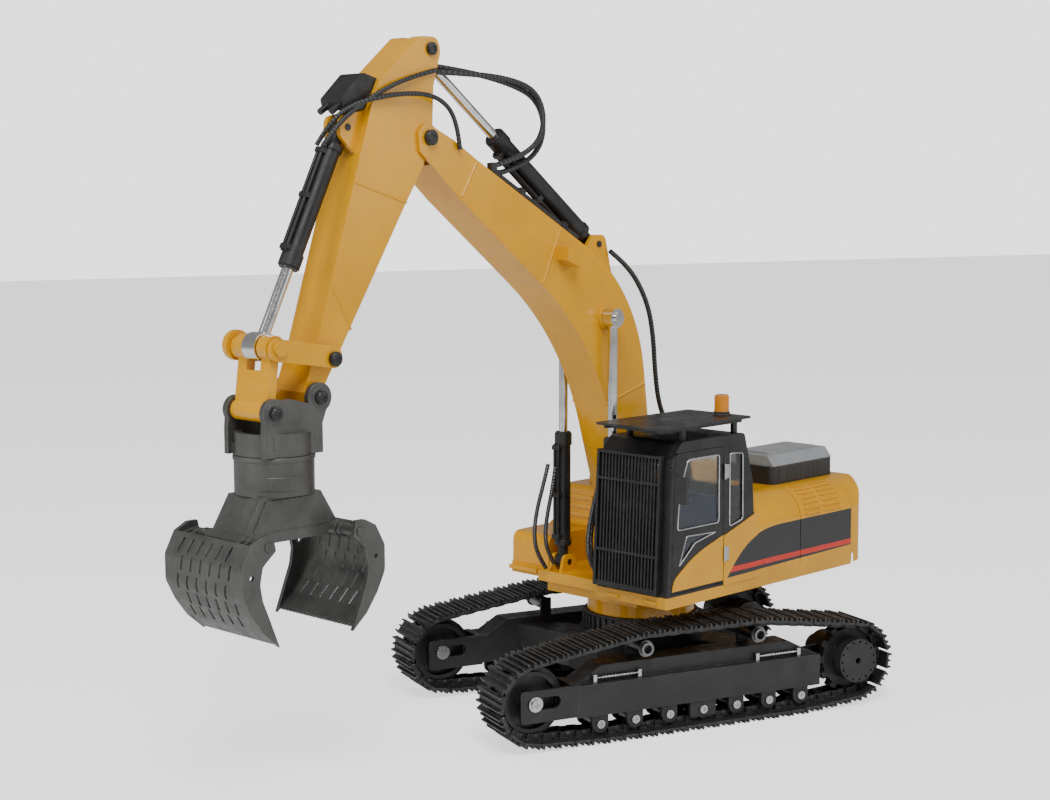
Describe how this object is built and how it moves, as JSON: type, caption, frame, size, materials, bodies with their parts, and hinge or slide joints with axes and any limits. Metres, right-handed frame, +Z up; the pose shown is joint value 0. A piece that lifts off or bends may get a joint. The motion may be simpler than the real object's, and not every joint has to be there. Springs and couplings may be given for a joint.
{
  "type": "toy excavator",
  "caption": "Tracked toy excavator on a slewing platform with cab, boom, stick, hydraulic cylinders and a rotating clamshell grapple.",
  "frame": {"origin": "middle of the whole machine at rest, on the ground under the tracks", "axes": "+X forward along the tracks, +Y to the left, +Z up; the upper structure is slewed 19.9 degrees to the left at rest"},
  "size_m": [0.5173, 0.2662, 0.4344],
  "materials": {
    "yellow": "gloss",
    "black": "satin",
    "gunmetal": "satin",
    "steel": "polished",
    "chrome": "polished",
    "fasteners": "satin",
    "glass": "gloss",
    "seat_fabric": "matte",
    "lamp": "gloss",
    "hose": "matte",
    "grey_plastic": "matte"
  },
  "bodies": {
    "undercarriage": {"chassis_frame": "black", "side_frame_left": "black", "side_frame_right": "black", "track_left": "black", "track_right": "black", "track_rollers": "black", "carrier_rollers": "black", "idler_forks": "black", "undercarriage_screws": "steel", "drive_motors": "black", "tension_springs": "black", "slew_ring": "black"},
    "sprocket_left": {"sprocket_left": "steel"},
    "sprocket_right": {"sprocket_right": "steel"},
    "idler_left": {"idler_left": "black"},
    "idler_right": {"idler_right": "black"},
    "platform": {"deck": "yellow", "deck_pins": "fasteners", "side_panels_left": "yellow", "side_panels_right": "yellow", "engine_hood": "yellow", "counterweight": "yellow", "air_filter": "grey_plastic", "cab_shell": "black", "cab_glass": "glass", "cab_trim": "black", "operator_seat": "seat_fabric", "front_guard": "black", "roof_guard": "black", "beacon": "lamp", "tool_box": "yellow", "fuel_tank": "yellow", "lift_hoses": "hose", "boom_hose": "hose"},
    "door": {"cab_door": "black", "door_glass": "glass", "door_skin": "yellow"},
    "boom": {"boom": "yellow", "boom_pins": "fasteners", "boom_fittings": "fasteners", "loop_hoses": "hose"},
    "lift_left_barrel": {"lift_left_barrel": "black"},
    "lift_left_rod": {"lift_left_rod": "chrome"},
    "lift_right_barrel": {"lift_right_barrel": "black"},
    "lift_right_rod": {"lift_right_rod": "chrome"},
    "crowd_barrel": {"crowd_barrel": "black"},
    "crowd_rod": {"crowd_rod": "chrome"},
    "stick": {"stick": "yellow", "stick_pins": "fasteners", "valve_housing": "black", "curl_hoses": "hose"},
    "curl_barrel": {"curl_barrel": "black"},
    "curl_rod": {"curl_rod": "chrome"},
    "rocker": {"rocker_links": "yellow"},
    "hanger": {"hanger_link": "yellow"},
    "head": {"grapple_head": "gunmetal", "head_bolts": "fasteners"},
    "grapple": {"grapple_body": "gunmetal"},
    "jaw_front": {"jaw_front": "gunmetal"},
    "jaw_rear": {"jaw_rear": "gunmetal"}
  },
  "joints": [
    {"name": "sprocket_left_turn", "type": "hinge", "parent": "undercarriage", "child": "sprocket_left", "pos_m": [-0.2065, 0.06005, 0.031], "axis": [0, 1, 0], "continuous": true},
    {"name": "idler_left_turn", "type": "hinge", "parent": "undercarriage", "child": "idler_left", "pos_m": [0.0315, 0.06005, 0.0302], "axis": [0, 1, 0], "continuous": true},
    {"name": "sprocket_right_turn", "type": "hinge", "parent": "undercarriage", "child": "sprocket_right", "pos_m": [-0.2065, -0.08265, 0.031], "axis": [0, 1, 0], "continuous": true},
    {"name": "idler_right_turn", "type": "hinge", "parent": "undercarriage", "child": "idler_right", "pos_m": [0.0315, -0.08265, 0.0302], "axis": [0, 1, 0], "continuous": true},
    {"name": "slew", "type": "hinge", "parent": "undercarriage", "child": "platform", "pos_m": [-0.0895, -0.0113, 0.062], "axis": [0, 0, 1], "continuous": true},
    {"name": "door_swing", "type": "hinge", "parent": "platform", "child": "door", "pos_m": [-0.10769, 0.06656, 0.135], "axis": [0, 0, 1], "range_deg": [0, 80]},
    {"name": "boom_lift", "type": "hinge", "parent": "platform", "child": "boom", "pos_m": [-0.08704, -0.02104, 0.106], "axis": [-0.3404, 0.9403, 0], "range_deg": [-12, 14], "deforming": ["lift_hoses", "boom_hose"]},
    {"name": "stick_swing", "type": "hinge", "parent": "boom", "child": "stick", "pos_m": [0.09782, 0.04587, 0.3758], "axis": [-0.3404, 0.9403, 0], "range_deg": [-18, 15], "deforming": ["loop_hoses", "curl_hoses"]},
    {"name": "head_swing", "type": "hinge", "parent": "stick", "child": "head", "pos_m": [0.18142, 0.07613, 0.2303], "axis": [-0.3404, 0.9403, 0], "range_deg": [-18, 18]},
    {"name": "lift_left_swing", "type": "hinge", "parent": "platform", "child": "lift_left_barrel", "pos_m": [-0.05268, 0.01479, 0.096], "axis": [-0.3404, 0.9403, 0], "range_deg": [-12.25, 14.29]},
    {"name": "lift_left_extend", "type": "slide", "parent": "lift_left_barrel", "child": "lift_left_rod", "axis": [-0.0068, -0.0025, 1], "range_m": [-0.0118, 0.0102]},
    {"name": "lift_right_swing", "type": "hinge", "parent": "platform", "child": "lift_right_barrel", "pos_m": [-0.03771, -0.02658, 0.096], "axis": [-0.3404, 0.9403, 0], "range_deg": [-12.25, 14.29]},
    {"name": "lift_right_extend", "type": "slide", "parent": "lift_right_barrel", "child": "lift_right_rod", "axis": [-0.0068, -0.0025, 1], "range_m": [-0.0118, 0.0102]},
    {"name": "crowd_swing", "type": "hinge", "parent": "boom", "child": "crowd_barrel", "pos_m": [-0.04858, -0.00712, 0.3095], "axis": [-0.3404, 0.9403, 0], "range_deg": [-3.08, 2.56]},
    {"name": "crowd_extend", "type": "slide", "parent": "crowd_barrel", "child": "crowd_rod", "axis": [0.7437, 0.2692, 0.6119], "range_m": [-0.0149, 0.0124]},
    {"name": "rocker_swing", "type": "hinge", "parent": "stick", "child": "rocker", "pos_m": [0.17107, 0.07239, 0.2512], "axis": [-0.3404, 0.9403, 0], "range_deg": [-15.32, 15.32]},
    {"name": "hanger_swing", "type": "hinge", "parent": "rocker", "child": "hanger", "pos_m": [0.20727, 0.0855, 0.2594], "axis": [-0.3404, 0.9403, 0], "range_deg": [-8.26, 8.26]},
    {"name": "curl_swing", "type": "hinge", "parent": "stick", "child": "curl_barrel", "pos_m": [0.15086, 0.06507, 0.381], "axis": [-0.3404, 0.9403, 0], "range_deg": [-1.26, 1.26]},
    {"name": "curl_extend", "type": "slide", "parent": "curl_barrel", "child": "curl_rod", "axis": [0.4161, 0.1506, -0.8968], "range_m": [-0.0103, 0.0103]},
    {"name": "rotator_turn", "type": "hinge", "parent": "head", "child": "grapple", "pos_m": [0.19909, 0.08253, 0.185], "axis": [0, 0, 1], "continuous": true},
    {"name": "jaw_front_swing", "type": "hinge", "parent": "grapple", "child": "jaw_front", "pos_m": [0.22956, 0.09356, 0.1544], "axis": [-0.3404, 0.9403, 0], "range_deg": [-28, 24]},
    {"name": "jaw_rear_swing", "type": "hinge", "parent": "grapple", "child": "jaw_rear", "pos_m": [0.16863, 0.07151, 0.1544], "axis": [-0.3404, 0.9403, 0], "range_deg": [-24, 28]}
  ],
  "couplings": [
    {"joint": "idler_left_turn", "follows": "sprocket_left_turn", "ratio": 1},
    {"joint": "idler_right_turn", "follows": "sprocket_right_turn", "ratio": 1},
    {"joint": "lift_left_swing", "follows": "boom_lift", "ratio": 0.94521},
    {"joint": "lift_left_extend", "follows": "boom_lift", "m_per_rad": -0.044467},
    {"joint": "lift_right_swing", "follows": "boom_lift", "ratio": 0.94521},
    {"joint": "lift_right_extend", "follows": "boom_lift", "m_per_rad": -0.044467},
    {"joint": "crowd_swing", "follows": "stick_swing", "ratio": 0.14248},
    {"joint": "crowd_extend", "follows": "stick_swing", "m_per_rad": 0.043532},
    {"joint": "rocker_swing", "follows": "head_swing", "ratio": 0.78802},
    {"joint": "hanger_swing", "follows": "head_swing", "ratio": -0.42508},
    {"joint": "curl_swing", "follows": "head_swing", "ratio": 0.053781},
    {"joint": "curl_extend", "follows": "head_swing", "m_per_rad": 0.029953},
    {"joint": "jaw_rear_swing", "follows": "jaw_front_swing", "ratio": -1}
  ]
}
